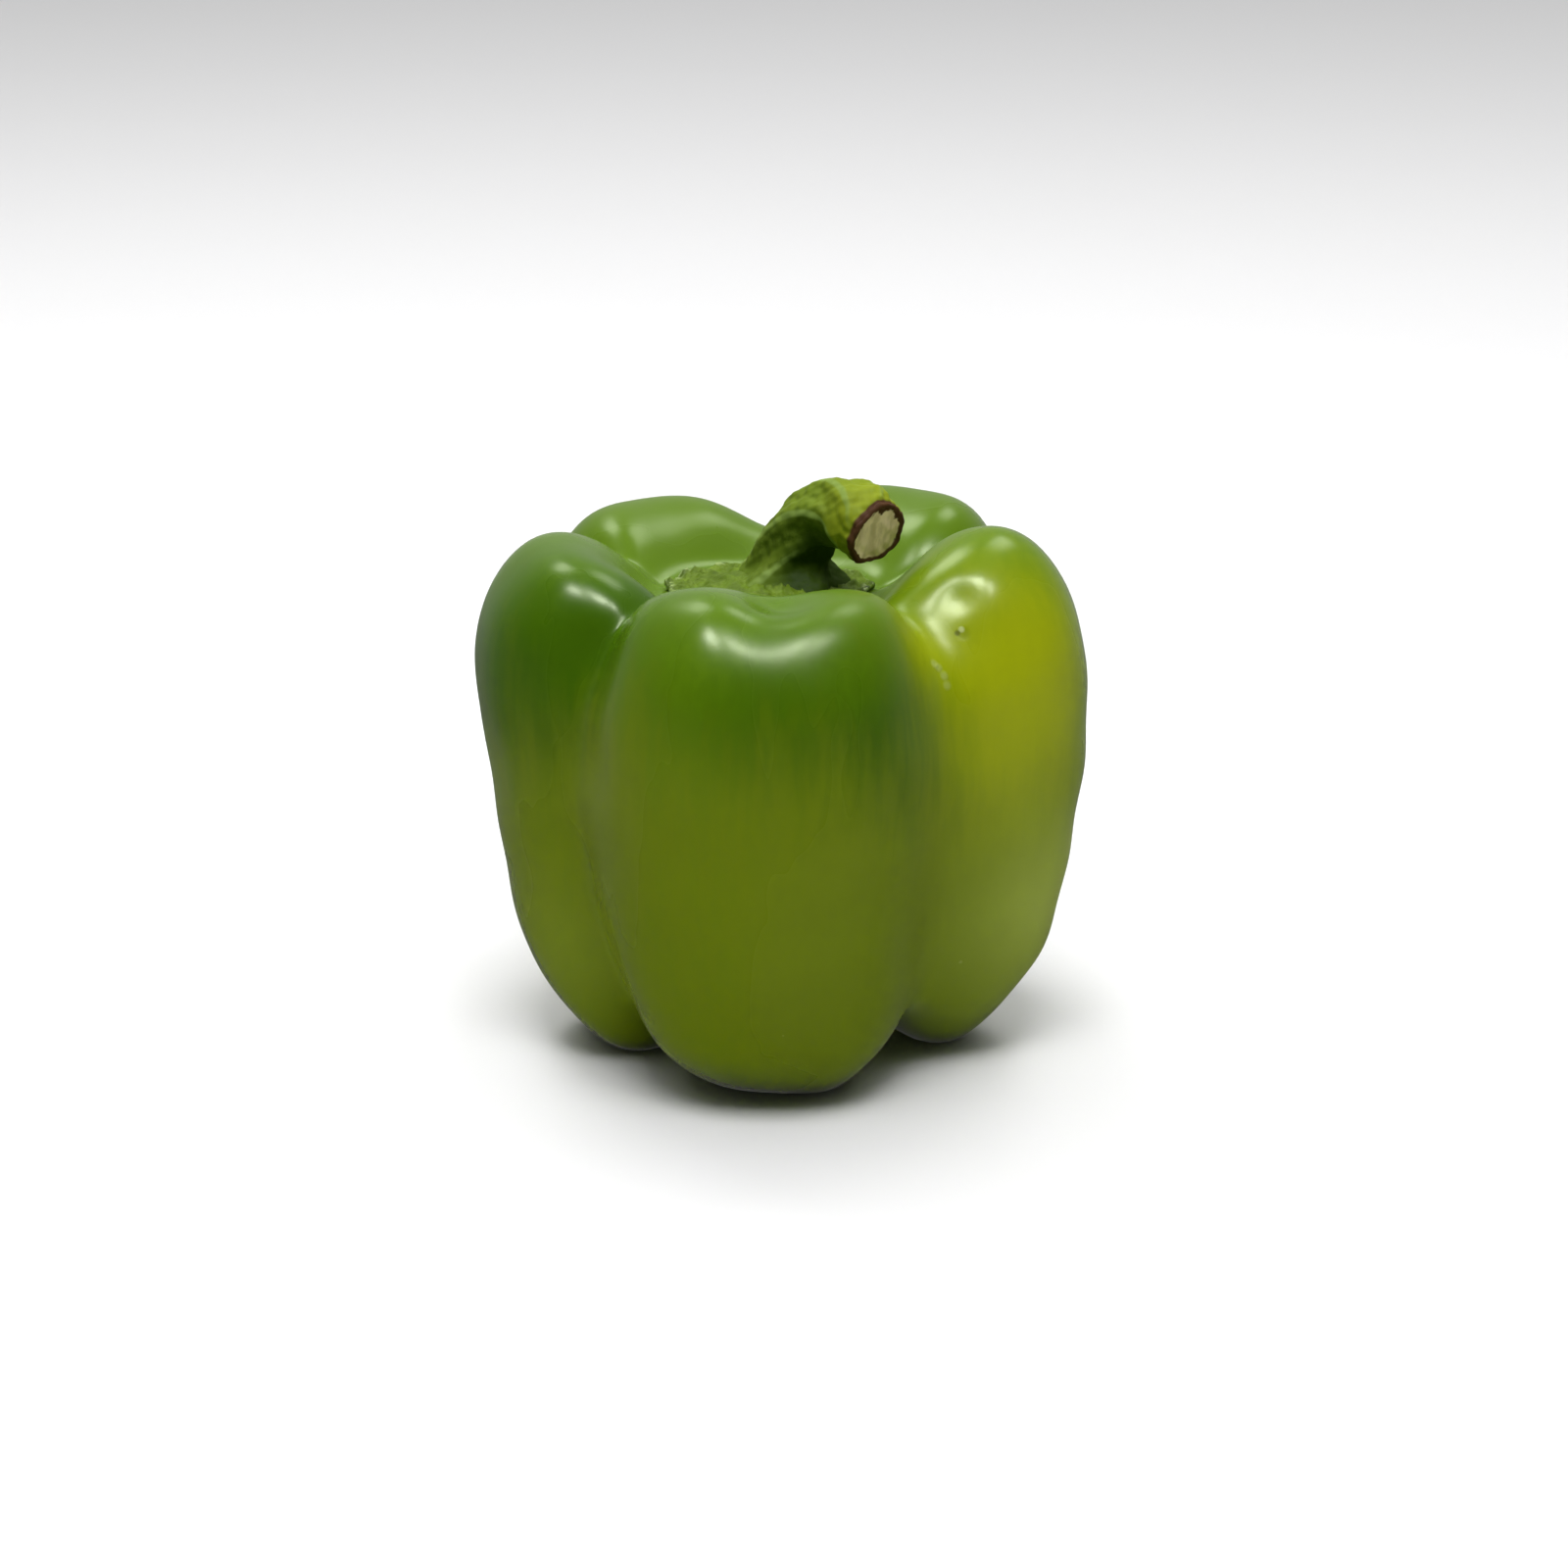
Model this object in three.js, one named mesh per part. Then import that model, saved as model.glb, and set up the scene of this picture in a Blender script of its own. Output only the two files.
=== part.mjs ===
// A green bell pepper as picked: five fused lobes round a sunken crown, the calyx that lies in
// the crown, and a hooked stem with a cut end.
// Millimetres, +Z up. It stands on the feet of its lobes at Z = 0, and its origin is the centre
// of the base of its bounding box. Azimuths are in degrees, 0 at +X and -90 at the front, -Y.

import * as THREE from "three";
import { LoftGeometry } from "three/addons/geometries/LoftGeometry.js";
import { ParametricGeometry } from "three/addons/geometries/ParametricGeometry.js";

// Fruit. An outline is half of an upright section, from the middle of the crown over the crest,
// down the side and in under the foot. Its [distance from the axis, height] pairs are the control
// points of a uniform cubic B-spline.
const FURROW_OUTLINE = [
  [0, 67], [7, 67], [13, 66], [17.5, 65], [22.5, 70], [31, 68.5], [37.5, 62],
  [39, 46], [36.5, 31], [32.5, 18], [30, 10], [18, 8.5], [9, 6.5], [0, 8],
];
// A point of the lobes' common outline also holds the shares of a lobe's own crest, shoulder and
// belly that move it.
const LOBE_OUTLINE = [
  [0, 67, 0, 0, 0],
  [7, 67, 0, 0, 0],
  [13, 66.5, 0, 0, 0],
  [18, 67.5, 0.5, 0, 0],
  [23, 75.5, 1, 0, 0],
  [35, 79.5, 1, 0.6, 0],
  [45, 68, 0.8, 1, 0],
  [45, 52, 0.25, 0.5, 0.5],
  [41.5, 32, 0, 0, 1],
  [39.5, 15.5, 0, 0, 0.6],
  [31, 3, 0, 0, 0],
  [22.5, -3, 0, 0, 0],
  [9, 6.5, 0, 0, 0],
  [0, 8, 0, 0, 0],
];
// Each lobe runs from its own furrow to the next lobe's. width scales its reach, crest lifts its
// top, and shoulder and belly move the upper and the lower side out. full sets how flat its face is
// between the furrows, at its two ends and at its side, and lean moves its ridge towards its own
// furrow.
const LOBES = [
  { furrow: -132, width: 1.08, crest: -2, shoulder: 0, belly: 1.2, full: [4.1, 2.5], lean: 0 },
  { furrow: -50, width: 0.99, crest: 0.8, shoulder: 0, belly: 2.7, full: [1.8, 1.9], lean: 0 },
  { furrow: 19, width: 0.98, crest: -1.8, shoulder: 0, belly: 0, full: [3.9, 2.8], lean: 0.08 },
  { furrow: 88, width: 0.98, crest: -3.5, shoulder: 0, belly: 0, full: [3.5, 2.9], lean: -0.22 },
  { furrow: 157, width: 1, crest: -1.9, shoulder: -1, belly: -1.7, full: [4, 2.6], lean: -0.06 },
];
// The front lobe's own furrow bows round to the left, by this many degrees where it bows most.
const BOW = { turn: -5.5, middle: 0.6, reach: 0.17 };
// Share of the way from furrow to ridge over which the furrow is rounded off.
const FURROW_ROUNDING = { crown: 0.1, side: 0.4, base: 0.25 };
const SIDE = { middle: 0.56, reach: 0.16 }; // where the side lies, as shares of the outline
const CROWN_OFFSET = new THREE.Vector2(-1.6, -0.2);
const BASE_OFFSET = new THREE.Vector2(1.9, 2.6);
const FOOT_SINK = 0.6; // depth by which the round feet are flattened where they stand
// Shallow dents and bumps in the skin: each is pushed in its middle and has faded at its reach.
const DENTS = [
  { at: [0.5, -34, 75], push: [0, 0.8, -2.4], reach: 11 },
  { at: [-3, -40.5, 72], push: [0.1, 0.4, -0.4], reach: 9 },
  { at: [-21.5, -22, 68], push: [0, -0.8, 0.7], reach: 10 },
  { at: [25.6, -20.2, 70.8], push: [0.1, 0.3, -0.35], reach: 5 },
  { at: [-41, -13, 47], push: [0.7, 0.1, 0], reach: 22 },
].map(({ at, push, reach }) => ({
  at: new THREE.Vector3(...at),
  push: new THREE.Vector3(...push),
  reach,
}));

// Calyx and stem.
const CALYX_REACH = 0.188; // share of the fruit's outline that the calyx covers
const CALYX_POINTS = 5;
const CALYX_POINT_DEPTH = 0.012;
const CALYX_EDGE = 1.4; // its thickness at the edge
const CALYX_TOP = 69;
const GAP = 0.3;
const STEM_PATH = [
  [1.6, 1, 69.3], [2.2, 0.6, 71.6], [3.6, -0.5, 74.8], [6, -2.2, 77.8],
  [9.6, -4.6, 79], [12.4, -7.1, 78.3], [14, -9, 77.1],
].map((p) => new THREE.Vector3(...p));
const STEM_RADII = [7.4, 5.5, 4.7, 4.4, 4.9, 5.2, 4.6]; // at the points of the path
const STEM_UPRIGHT = 0.3; // share of its length over which its sections turn from level to its path
const STEM_RIBS = 5;
const STEM_RIB_HEIGHT = 0.05; // share of the radius

// Mesh steps.
const LOBE_STEPS = 20;
const OUTLINE_STEPS = 44;
const CALYX_STEPS = { round: 60, across: 14 };
const STEM_STEPS = { round: 30, along: 22 };

const radians = THREE.MathUtils.degToRad;
const { clamp, lerp } = THREE.MathUtils;
const ease = (x) => x * x * (3 - 2 * x);

// A point of the B-spline through a cage, at t from 0 to 1. The cage is mirrored in the axis at
// both ends, so that the surface crosses the axis level.
function splinePoint(cage, t) {
  const last = cage.length - 1;
  const mirrored = (i) => {
    const [reach, height] = cage[Math.abs(i > last ? 2 * last - i : i)];
    return i < 0 || i > last ? [-reach, height] : [reach, height];
  };
  const span = Math.min(Math.floor(clamp(t, 0, 1) * last), last - 1);
  const f = clamp(t, 0, 1) * last - span;
  const weights = [
    (1 - f) ** 3,
    3 * f ** 3 - 6 * f ** 2 + 4,
    -3 * f ** 3 + 3 * f ** 2 + 3 * f + 1,
    f ** 3,
  ];
  const point = new THREE.Vector2();
  weights.forEach((w, i) => {
    const [reach, height] = mirrored(span - 1 + i);
    point.x += (w * reach) / 6;
    point.y += (w * height) / 6;
  });
  return point;
}

// The outline of one lobe along its ridge: the common outline with the lobe's own changes.
function lobeOutline({ width, crest, shoulder, belly }) {
  return LOBE_OUTLINE.map(([reach, height, atCrest, atShoulder, atBelly]) => [
    reach * lerp(1, width, clamp(reach / 30, 0, 1)) + atShoulder * shoulder + atBelly * belly,
    height + atCrest * crest,
  ]);
}

const OUTLINES = LOBES.map(lobeOutline);

// How much a share t of the outline belongs to the side of the fruit.
const sideness = (t) => Math.exp(-(((t - SIDE.middle) / SIDE.reach) ** 4));

// How softly the furrow is rounded at a share t of the outline.
function rounding(t) {
  const atEnd = t < SIDE.middle ? FURROW_ROUNDING.crown : FURROW_ROUNDING.base;
  return lerp(atEnd, FURROW_ROUNDING.side, sideness(t));
}

// The azimuth of a lobe's own furrow at a share t of the outline. After the last lobe comes the
// front one again, a full turn on.
function furrowAt(lobe, t) {
  if (lobe % LOBES.length) return LOBES[lobe].furrow;
  const bow = BOW.turn * Math.exp(-(((t - BOW.middle) / BOW.reach) ** 2));
  return LOBES[0].furrow + bow + (lobe ? 360 : 0);
}

// A point of the fruit's skin. lobe counts lobes from the front one, across runs from -1 to 1
// between its furrows, and along follows the outline from crown to base.
function skinPoint(lobe, across, along, target) {
  const soft = rounding(along);
  const { full, lean } = LOBES[lobe];
  const edge = Math.abs(across + lean * (1 - across ** 2));
  const inward = (Math.hypot(1 - edge, soft) - soft) / (Math.hypot(1, soft) - soft);
  const swell = 1 - (1 - inward) ** lerp(...full, sideness(along));
  const furrow = splinePoint(FURROW_OUTLINE, along);
  const section = furrow.lerp(splinePoint(OUTLINES[lobe], along), swell);
  const azimuth = radians(lerp(furrowAt(lobe, along), furrowAt(lobe + 1, along), (across + 1) / 2));
  const nearCrown = ease(clamp(1 - along / 0.45, 0, 1));
  const nearBase = ease(clamp((along - 0.6) / 0.4, 0, 1));
  target.set(
    section.x * Math.cos(azimuth) + CROWN_OFFSET.x * nearCrown + BASE_OFFSET.x * nearBase,
    section.x * Math.sin(azimuth) + CROWN_OFFSET.y * nearCrown + BASE_OFFSET.y * nearBase,
    section.y - FOOT_SINK,
  );
  for (const { at, push, reach } of DENTS) {
    const away = (2 * target.distanceTo(at)) / reach;
    target.addScaledVector(push, Math.exp(-away * away));
  }
  return target;
}

// The lobe and the place across it for a share of a full turn. Steps crowd towards the furrows.
function lobeAt(turn) {
  const lobe = Math.min(Math.floor(turn * LOBES.length), LOBES.length - 1);
  const even = 2 * (turn * LOBES.length - lobe) - 1;
  return [lobe, lerp(even, Math.sin((even * Math.PI) / 2), 0.5)];
}

function fruitGeometry() {
  const skin = (turn, rise, target) => {
    const [lobe, across] = lobeAt(turn);
    skinPoint(lobe, across, 1 - rise, target);
    target.z = Math.max(target.z, 0);
  };
  return new ParametricGeometry(skin, LOBES.length * LOBE_STEPS, OUTLINE_STEPS);
}

// The calyx follows the crown underneath, ends in a blunt, gently pointed edge, and rises to a
// flat seat for the stem. Its section runs from the middle of the underside round the edge, at
// side 0, to the middle of the top.
function calyxGeometry() {
  const disc = (turn, v, target) => {
    const [lobe, across] = lobeAt(turn);
    const side = 2 * v - 1;
    const outward = 1 - side ** 2;
    const reach = CALYX_REACH + CALYX_POINT_DEPTH * Math.cos(2 * Math.PI * CALYX_POINTS * turn);
    skinPoint(lobe, across, reach * outward, target);
    const under = target.z + GAP;
    const over = lerp(CALYX_TOP, under + CALYX_EDGE, ease(outward));
    target.z = lerp(under, over, ease(clamp(0.5 + 1.5 * side, 0, 1)));
  };
  return new ParametricGeometry(disc, CALYX_STEPS.round, CALYX_STEPS.across);
}

// The radius of the stem at a share of its length, eased between the radii at its points.
function stemRadius(share) {
  const place = share * (STEM_RADII.length - 1);
  const before = Math.min(Math.floor(place), STEM_RADII.length - 2);
  return lerp(STEM_RADII[before], STEM_RADII[before + 1], ease(place - before));
}

// Ribbed sections carried along the stem's path. The first lies flat on the calyx.
function stemGeometry() {
  const path = new THREE.CatmullRomCurve3(STEM_PATH);
  const upright = new THREE.Vector3(0, 0, 1);
  const sections = [];
  for (let i = 0; i <= STEM_STEPS.along; i++) {
    const share = i / STEM_STEPS.along;
    const bend = ease(clamp(share / STEM_UPRIGHT, 0, 1));
    const way = upright.clone().lerp(path.getTangent(share), bend).normalize();
    const turn = new THREE.Quaternion().setFromUnitVectors(upright, way);
    const section = [];
    for (let j = 0; j < STEM_STEPS.round; j++) {
      const angle = (2 * Math.PI * j) / STEM_STEPS.round;
      const radius = stemRadius(share) * (1 + STEM_RIB_HEIGHT * Math.cos(STEM_RIBS * angle));
      const spoke = new THREE.Vector3(radius * Math.cos(angle), radius * Math.sin(angle), 0);
      section.push(spoke.applyQuaternion(turn).add(path.getPoint(share)));
    }
    sections.push(section);
  }
  return new LoftGeometry(sections, { capStart: true, capEnd: true });
}

function part(name, geometry, look) {
  const mesh = new THREE.Mesh(geometry, new THREE.MeshStandardMaterial({ metalness: 0, ...look }));
  mesh.name = name;
  return mesh;
}

const pepper = new THREE.Group();
pepper.add(
  part("fruit", fruitGeometry(), { color: 0x5a7010, roughness: 0.28 }),
  part("calyx", calyxGeometry(), { color: 0x7e9a3c, roughness: 0.6 }),
  part("stem", stemGeometry(), { color: 0x5f7d22, roughness: 0.65 }),
);

// Move the pepper over the middle of its own bounding box.
const middle = new THREE.Box3().setFromObject(pepper).getCenter(new THREE.Vector3());
pepper.position.set(-middle.x, -middle.y, 0);

export default pepper;
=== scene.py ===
"""The looks of a green bell pepper, built round its fixed CAD frame.

The fruit, its calyx and its hooked stem are surfaces worked out from a few driving sizes in
millimetres. Azimuths are in degrees, 0 at +X and -90 at the front. The working frame is the
pepper's own, with the axis of its lobes at X = Y = 0, and each mesh is moved once, by the same
small offset, into the frame of the CAD model.
"""

from __future__ import annotations

import logging
import math
from dataclasses import dataclass, field
from enum import Enum

import bpy
import numpy as np
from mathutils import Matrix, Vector


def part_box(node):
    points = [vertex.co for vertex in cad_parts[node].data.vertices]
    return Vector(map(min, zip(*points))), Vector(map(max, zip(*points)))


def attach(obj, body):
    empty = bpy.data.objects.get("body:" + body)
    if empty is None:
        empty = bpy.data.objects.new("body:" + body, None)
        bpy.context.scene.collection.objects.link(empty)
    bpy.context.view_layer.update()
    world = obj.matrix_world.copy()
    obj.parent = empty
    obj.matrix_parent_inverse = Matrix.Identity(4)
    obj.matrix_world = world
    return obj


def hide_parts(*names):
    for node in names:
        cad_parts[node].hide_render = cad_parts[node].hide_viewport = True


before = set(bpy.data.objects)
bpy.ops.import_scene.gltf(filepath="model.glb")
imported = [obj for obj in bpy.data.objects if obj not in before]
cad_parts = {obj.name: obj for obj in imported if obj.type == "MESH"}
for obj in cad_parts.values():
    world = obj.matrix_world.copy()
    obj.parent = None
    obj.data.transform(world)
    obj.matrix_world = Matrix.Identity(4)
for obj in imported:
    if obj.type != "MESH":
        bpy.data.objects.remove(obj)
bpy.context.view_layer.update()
MM = 0.001
TINY = 1e-12
BODY = "root"

log = logging.getLogger("bell_pepper")

Array = np.ndarray
Colour = tuple[float, float, float, float]


# ---------------------------------------------------------------- shape helpers


def ease(x: Array | float) -> Array | float:
    """Smooth step: 3x^2 - 2x^3 with x held between 0 and 1."""
    x = np.clip(x, 0.0, 1.0)
    return x * x * (3 - 2 * x)


def rise(value: Array | float, start: Array | float, length: float) -> Array | float:
    """How far a value has risen from a start over a length: from 0 to 1, with soft ends."""
    return ease((value - start) / length)


def unit(vectors: Array) -> Array:
    """The vectors of the last axis brought to length 1; one with no length stays as it is."""
    return vectors / np.maximum(np.linalg.norm(vectors, axis=-1, keepdims=True), TINY)


def hill(distance: Array, reach: float) -> Array:
    """A bell curve of a distance: 1 in the middle, and nearly nothing at its reach."""
    return np.exp(-((2 * distance / reach) ** 2))


def spline(cage: Array, t: Array) -> Array:
    """Points of the uniform cubic B-spline through a cage that is mirrored in the axis.

    With f the share of the way between two control points, the four nearest points are mixed
    by the B-spline weights (1-f)^3, 3f^3-6f^2+4, -3f^3+3f^2+3f+1 and f^3, over 6.

    Args:
        cage: n rows of reach and height.
        t: places along the curve, from 0 to 1.

    Returns:
        An array of the shape of t with a last axis of reach and height.
    """
    mirror = np.array([-1.0, 1.0])
    points = np.vstack([cage[1] * mirror, cage, cage[-2] * mirror])
    last = len(cage) - 1
    place = np.clip(t, 0.0, 1.0) * last
    span = np.minimum(place.astype(int), last - 1)
    f = place - span
    weights = [(1 - f) ** 3, 3 * f**3 - 6 * f**2 + 4, -3 * f**3 + 3 * f**2 + 3 * f + 1, f**3]
    return sum(w[..., None] * points[span + i] for i, w in enumerate(weights)) / 6


def waves(points: Array, seed: int, length: float, count: int = 12) -> Array:
    """A soft random field: a sum of plane sine waves in random directions.

    Args:
        points: places, with a last axis of X, Y and Z.
        seed: picks the directions and phases.
        length: typical wavelength, in the unit of the points.
        count: number of waves.

    Returns:
        Values with a mean of 0 and a spread of about 1.
    """
    chance = np.random.default_rng(seed)
    ways = chance.normal(size=(count, 3))
    ways *= 2 * math.pi / length / np.linalg.norm(ways, axis=1, keepdims=True)
    ways *= chance.uniform(0.6, 1.5, size=(count, 1))
    phases = chance.uniform(0, 2 * math.pi, size=count)
    return np.sin(points @ ways.T + phases).sum(axis=-1) * math.sqrt(2 / count)


def grid_faces(rows: int, columns: int) -> list[list[int]]:
    """Faces of a grid that is closed round its columns and ends in a pole at each end.

    Args:
        rows: rings of vertices between the poles.
        columns: vertices in a ring.

    Returns:
        Quads between the rings and triangles at the poles. The first pole is vertex 0 and the
        last vertex is the other one. Faces point out where the rings turn anticlockwise as
        seen from the last pole.
    """
    ring = np.arange(columns)
    after = np.roll(ring, -1)
    starts = 1 + columns * np.arange(rows)
    end = 1 + rows * columns
    quads = np.stack(
        [
            starts[:-1, None] + ring,
            starts[:-1, None] + after,
            starts[1:, None] + after,
            starts[1:, None] + ring,
        ],
        axis=-1,
    ).reshape(-1, 4)
    first = np.stack([np.zeros_like(ring), 1 + after, 1 + ring], axis=-1)
    final = np.stack([np.full_like(ring, end), starts[-1] + ring, starts[-1] + after], axis=-1)
    return first.tolist() + quads.tolist() + final.tolist()


@dataclass
class Skin:
    """A closed surface: rings of points between two poles, with named values at each point."""

    first: Array
    rings: Array
    last: Array
    values: dict[str, tuple[float, Array, float]] = field(default_factory=dict)

    def mesh_object(self, name: str, offset: Array) -> bpy.types.Object:
        """Makes the Blender object, in metres, with each value as a point attribute.

        Args:
            name: name of the object and its mesh.
            offset: move from the working frame to the CAD frame, in millimetres.

        Returns:
            The new object, at the origin.
        """
        rows, columns = self.rings.shape[:2]
        points = np.vstack([self.first[None], self.rings.reshape(-1, 3), self.last[None]])
        mesh = bpy.data.meshes.new(name)
        mesh.from_pydata(((points + offset) * MM).tolist(), [], grid_faces(rows, columns))
        mesh.shade_smooth()
        for key, (start, middle, end) in self.values.items():
            layer = mesh.attributes.new(key, "FLOAT", "POINT")
            values = np.concatenate([[start], middle.ravel(), [end]])
            layer.data.foreach_set("value", values.astype(np.float32))
        piece = bpy.data.objects.new(name, mesh)
        bpy.context.scene.collection.objects.link(piece)
        return piece


# ---------------------------------------------------------------- node helpers


# Places of the sockets that a colour Mix node uses, as others there have the same names.
MIX_SHARE, MIX_BELOW, MIX_ABOVE, MIX_COLOUR = 0, 6, 7, 2


class Nodes:
    """Short hands for laying nodes in one node tree."""

    def __init__(self, tree: bpy.types.NodeTree) -> None:
        """Keeps the tree that the nodes go in."""
        self.tree = tree

    def feed(self, socket: bpy.types.NodeSocket, value: object) -> None:
        """Links an output to a socket, or sets the socket's own value."""
        if isinstance(value, bpy.types.NodeSocket):
            self.tree.links.new(value, socket)
        else:
            socket.default_value = value

    def add(self, kind: str, settings: dict | None = None, **inputs: object) -> bpy.types.Node:
        """Adds a node.

        Args:
            kind: the node's type without its ShaderNode prefix.
            settings: properties of the node.
            **inputs: sockets by name, with _ for a space, each a value or an output to link.

        Returns:
            The node.
        """
        node = self.tree.nodes.new(kind if kind.startswith("Node") else f"ShaderNode{kind}")
        for key, value in (settings or {}).items():
            setattr(node, key, value)
        for key, value in inputs.items():
            self.feed(node.inputs[key.replace("_", " ")], value)
        return node

    def math(self, operation: str, *values: object) -> bpy.types.NodeSocket:
        """A Math node of values or outputs; returns its output."""
        node = self.add("Math", {"operation": operation})
        for socket, value in zip(node.inputs, values):
            self.feed(socket, value)
        return node.outputs[0]

    def blend(self, first: object, first_share: float, other: object, share: float) -> bpy.types.NodeSocket:
        """The sum of two outputs, each times its share."""
        parts = [self.math("MULTIPLY", *pair) for pair in ((first, first_share), (other, share))]
        return self.math("ADD", *parts)

    def span(
        self,
        value: object,
        low: float,
        high: float,
        to: tuple[float, float] = (0.0, 1.0),
    ) -> bpy.types.NodeSocket:
        """A Map Range node from low..high to the pair in to, with soft ends and held beyond them."""
        ends = {"From_Min": low, "From_Max": high, "To_Min": to[0], "To_Max": to[1]}
        node = self.add("MapRange", {"interpolation_type": "SMOOTHSTEP"}, Value=value, **ends)
        return node.outputs["Result"]

    def mix(self, share: object, below: object, above: object) -> bpy.types.NodeSocket:
        """A colour Mix node from below to above by share; returns its colour."""
        node = self.add("Mix", {"data_type": "RGBA"})
        self.feed(node.inputs[MIX_SHARE], share)
        self.feed(node.inputs[MIX_BELOW], below)
        self.feed(node.inputs[MIX_ABOVE], above)
        return node.outputs[MIX_COLOUR]

    def value(self, name: str) -> bpy.types.NodeSocket:
        """The value of a point attribute of the piece."""
        return self.add("Attribute", {"attribute_name": name}).outputs["Fac"]

    def group(self, effect: "Effect", **inputs: object) -> bpy.types.Node:
        """Places a shared effect with its own values."""
        return self.add("Group", {"node_tree": effect.tree()}, **inputs)


class Effect(Enum):
    """The effects that more than one finish uses, each a shader node group built once."""

    MOTTLE = "mottle"
    SPECKLE = "speckle"
    FUZZ = "fuzz"
    MARK = "mark"

    def tree(self) -> bpy.types.NodeTree:
        """The effect's node group, built the first time it is asked for."""
        known = bpy.data.node_groups.get(self.value)
        return known or {
            Effect.MOTTLE: build_mottle,
            Effect.SPECKLE: build_speckle,
            Effect.FUZZ: build_fuzz,
            Effect.MARK: build_mark,
        }[self](self.value)


def new_group(
    name: str,
    inputs: dict[str, float],
    outputs: tuple[str, ...],
) -> tuple[Nodes, bpy.types.Node, bpy.types.Node]:
    """Starts a shader node group with float sockets.

    Args:
        name: name of the group.
        inputs: names of the inputs and their usual values.
        outputs: names of the outputs.

    Returns:
        The group's node helper, its input node and its output node.
    """
    tree = bpy.data.node_groups.new(name, "ShaderNodeTree")
    for key, value in inputs.items():
        socket = tree.interface.new_socket(key, in_out="INPUT", socket_type="NodeSocketFloat")
        socket.default_value = value
    for key in outputs:
        tree.interface.new_socket(key, in_out="OUTPUT", socket_type="NodeSocketFloat")
    nodes = Nodes(tree)
    return nodes, nodes.add("NodeGroupInput"), nodes.add("NodeGroupOutput")


def build_mottle(name: str) -> bpy.types.NodeTree:
    """Cloudy patches and finer streaks, drawn out along Z by noise on flattened coordinates."""
    inputs = {"Scale": 40.0, "Stretch": 0.4, "Fineness": 7.0}
    nodes, given, result = new_group(name, inputs, ("Clouds", "Streaks"))
    place = nodes.add("TexCoord").outputs["Object"]
    stretch = given.outputs["Stretch"]
    fine = nodes.math("MULTIPLY", given.outputs["Scale"], given.outputs["Fineness"])
    longer = nodes.math("MULTIPLY", stretch, 0.4)
    layers = (("Clouds", stretch, given.outputs["Scale"]), ("Streaks", longer, fine))
    for key, height, scale in layers:
        flat = nodes.add("VectorMath", {"operation": "MULTIPLY"})
        nodes.feed(flat.inputs[0], place)
        nodes.feed(flat.inputs[1], nodes.add("CombineXYZ", X=1.0, Y=1.0, Z=height).outputs[0])
        noise = nodes.add("TexNoise", Vector=flat.outputs[0], Scale=scale, Detail=3.0)
        nodes.feed(result.inputs[key], nodes.span(noise.outputs["Fac"], 0.35, 0.65))
    return nodes.tree


def build_speckle(name: str) -> bpy.types.NodeTree:
    """Sparse round dots: the nearness to Voronoi points, kept in a Share of the cells."""
    nodes, given, result = new_group(name, {"Scale": 200.0, "Size": 0.15, "Share": 0.2}, ("Dots",))
    place = nodes.add("TexCoord").outputs["Object"]
    cells = nodes.add("TexVoronoi", Vector=place, Scale=given.outputs["Scale"])
    near = nodes.math("LESS_THAN", cells.outputs["Distance"], given.outputs["Size"])
    kept = nodes.add("SeparateColor", Color=cells.outputs["Color"]).outputs[0]
    chosen = nodes.math("LESS_THAN", kept, given.outputs["Share"])
    nodes.feed(result.inputs["Dots"], nodes.math("MULTIPLY", near, chosen))
    return nodes.tree


def build_fuzz(name: str) -> bpy.types.NodeTree:
    """Short fine hairs: noise at two close scales, as a height and as a pale mask."""
    nodes, given, result = new_group(name, {"Scale": 900.0}, ("Height", "Pale"))
    place = nodes.add("TexCoord").outputs["Object"]
    hairs = nodes.add("TexNoise", Vector=place, Scale=given.outputs["Scale"], Detail=4.0, Roughness=0.7)
    wide = nodes.math("MULTIPLY", given.outputs["Scale"], 0.2)
    tufts = nodes.add("TexNoise", Vector=place, Scale=wide, Detail=2.0)
    both = nodes.math("MULTIPLY", hairs.outputs["Fac"], tufts.outputs["Fac"])
    nodes.feed(result.inputs["Height"], both)
    nodes.feed(result.inputs["Pale"], nodes.span(both, 0.24, 0.4))
    return nodes.tree


def build_mark(name: str) -> bpy.types.NodeTree:
    """A small round mark: 1 round the place X, Y, Z in Object coordinates, 0 beyond Reach."""
    inputs = {"X": 0.0, "Y": 0.0, "Z": 0.0, "Reach": 0.001}
    nodes, given, result = new_group(name, inputs, ("Share",))
    spot = nodes.add("CombineXYZ", **{key: given.outputs[key] for key in "XYZ"}).outputs[0]
    away = nodes.add("VectorMath", {"operation": "DISTANCE"})
    nodes.feed(away.inputs[0], nodes.add("TexCoord").outputs["Object"])
    nodes.feed(away.inputs[1], spot)
    share = nodes.math("DIVIDE", away.outputs["Value"], given.outputs["Reach"])
    nodes.feed(result.inputs["Share"], nodes.span(share, 1.0, 0.3))
    return nodes.tree


def new_material(name: str) -> tuple[bpy.types.Material, Nodes, bpy.types.Node]:
    """A material with a Principled shader.

    Args:
        name: name of the material.

    Returns:
        The material, its node helper and its Principled node.
    """
    material = bpy.data.materials.new(name)
    material.use_nodes = True
    tree = material.node_tree
    return material, Nodes(tree), tree.nodes["Principled BSDF"]


# ---------------------------------------------------------------- finishes


@dataclass(frozen=True)
class Mark:
    """A small mark on the skin: where it lies, how far it reaches, its colour and its height."""

    at: tuple[float, float, float]
    reach: float
    colour: Colour
    weight: float
    height: float = 0.0


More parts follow.
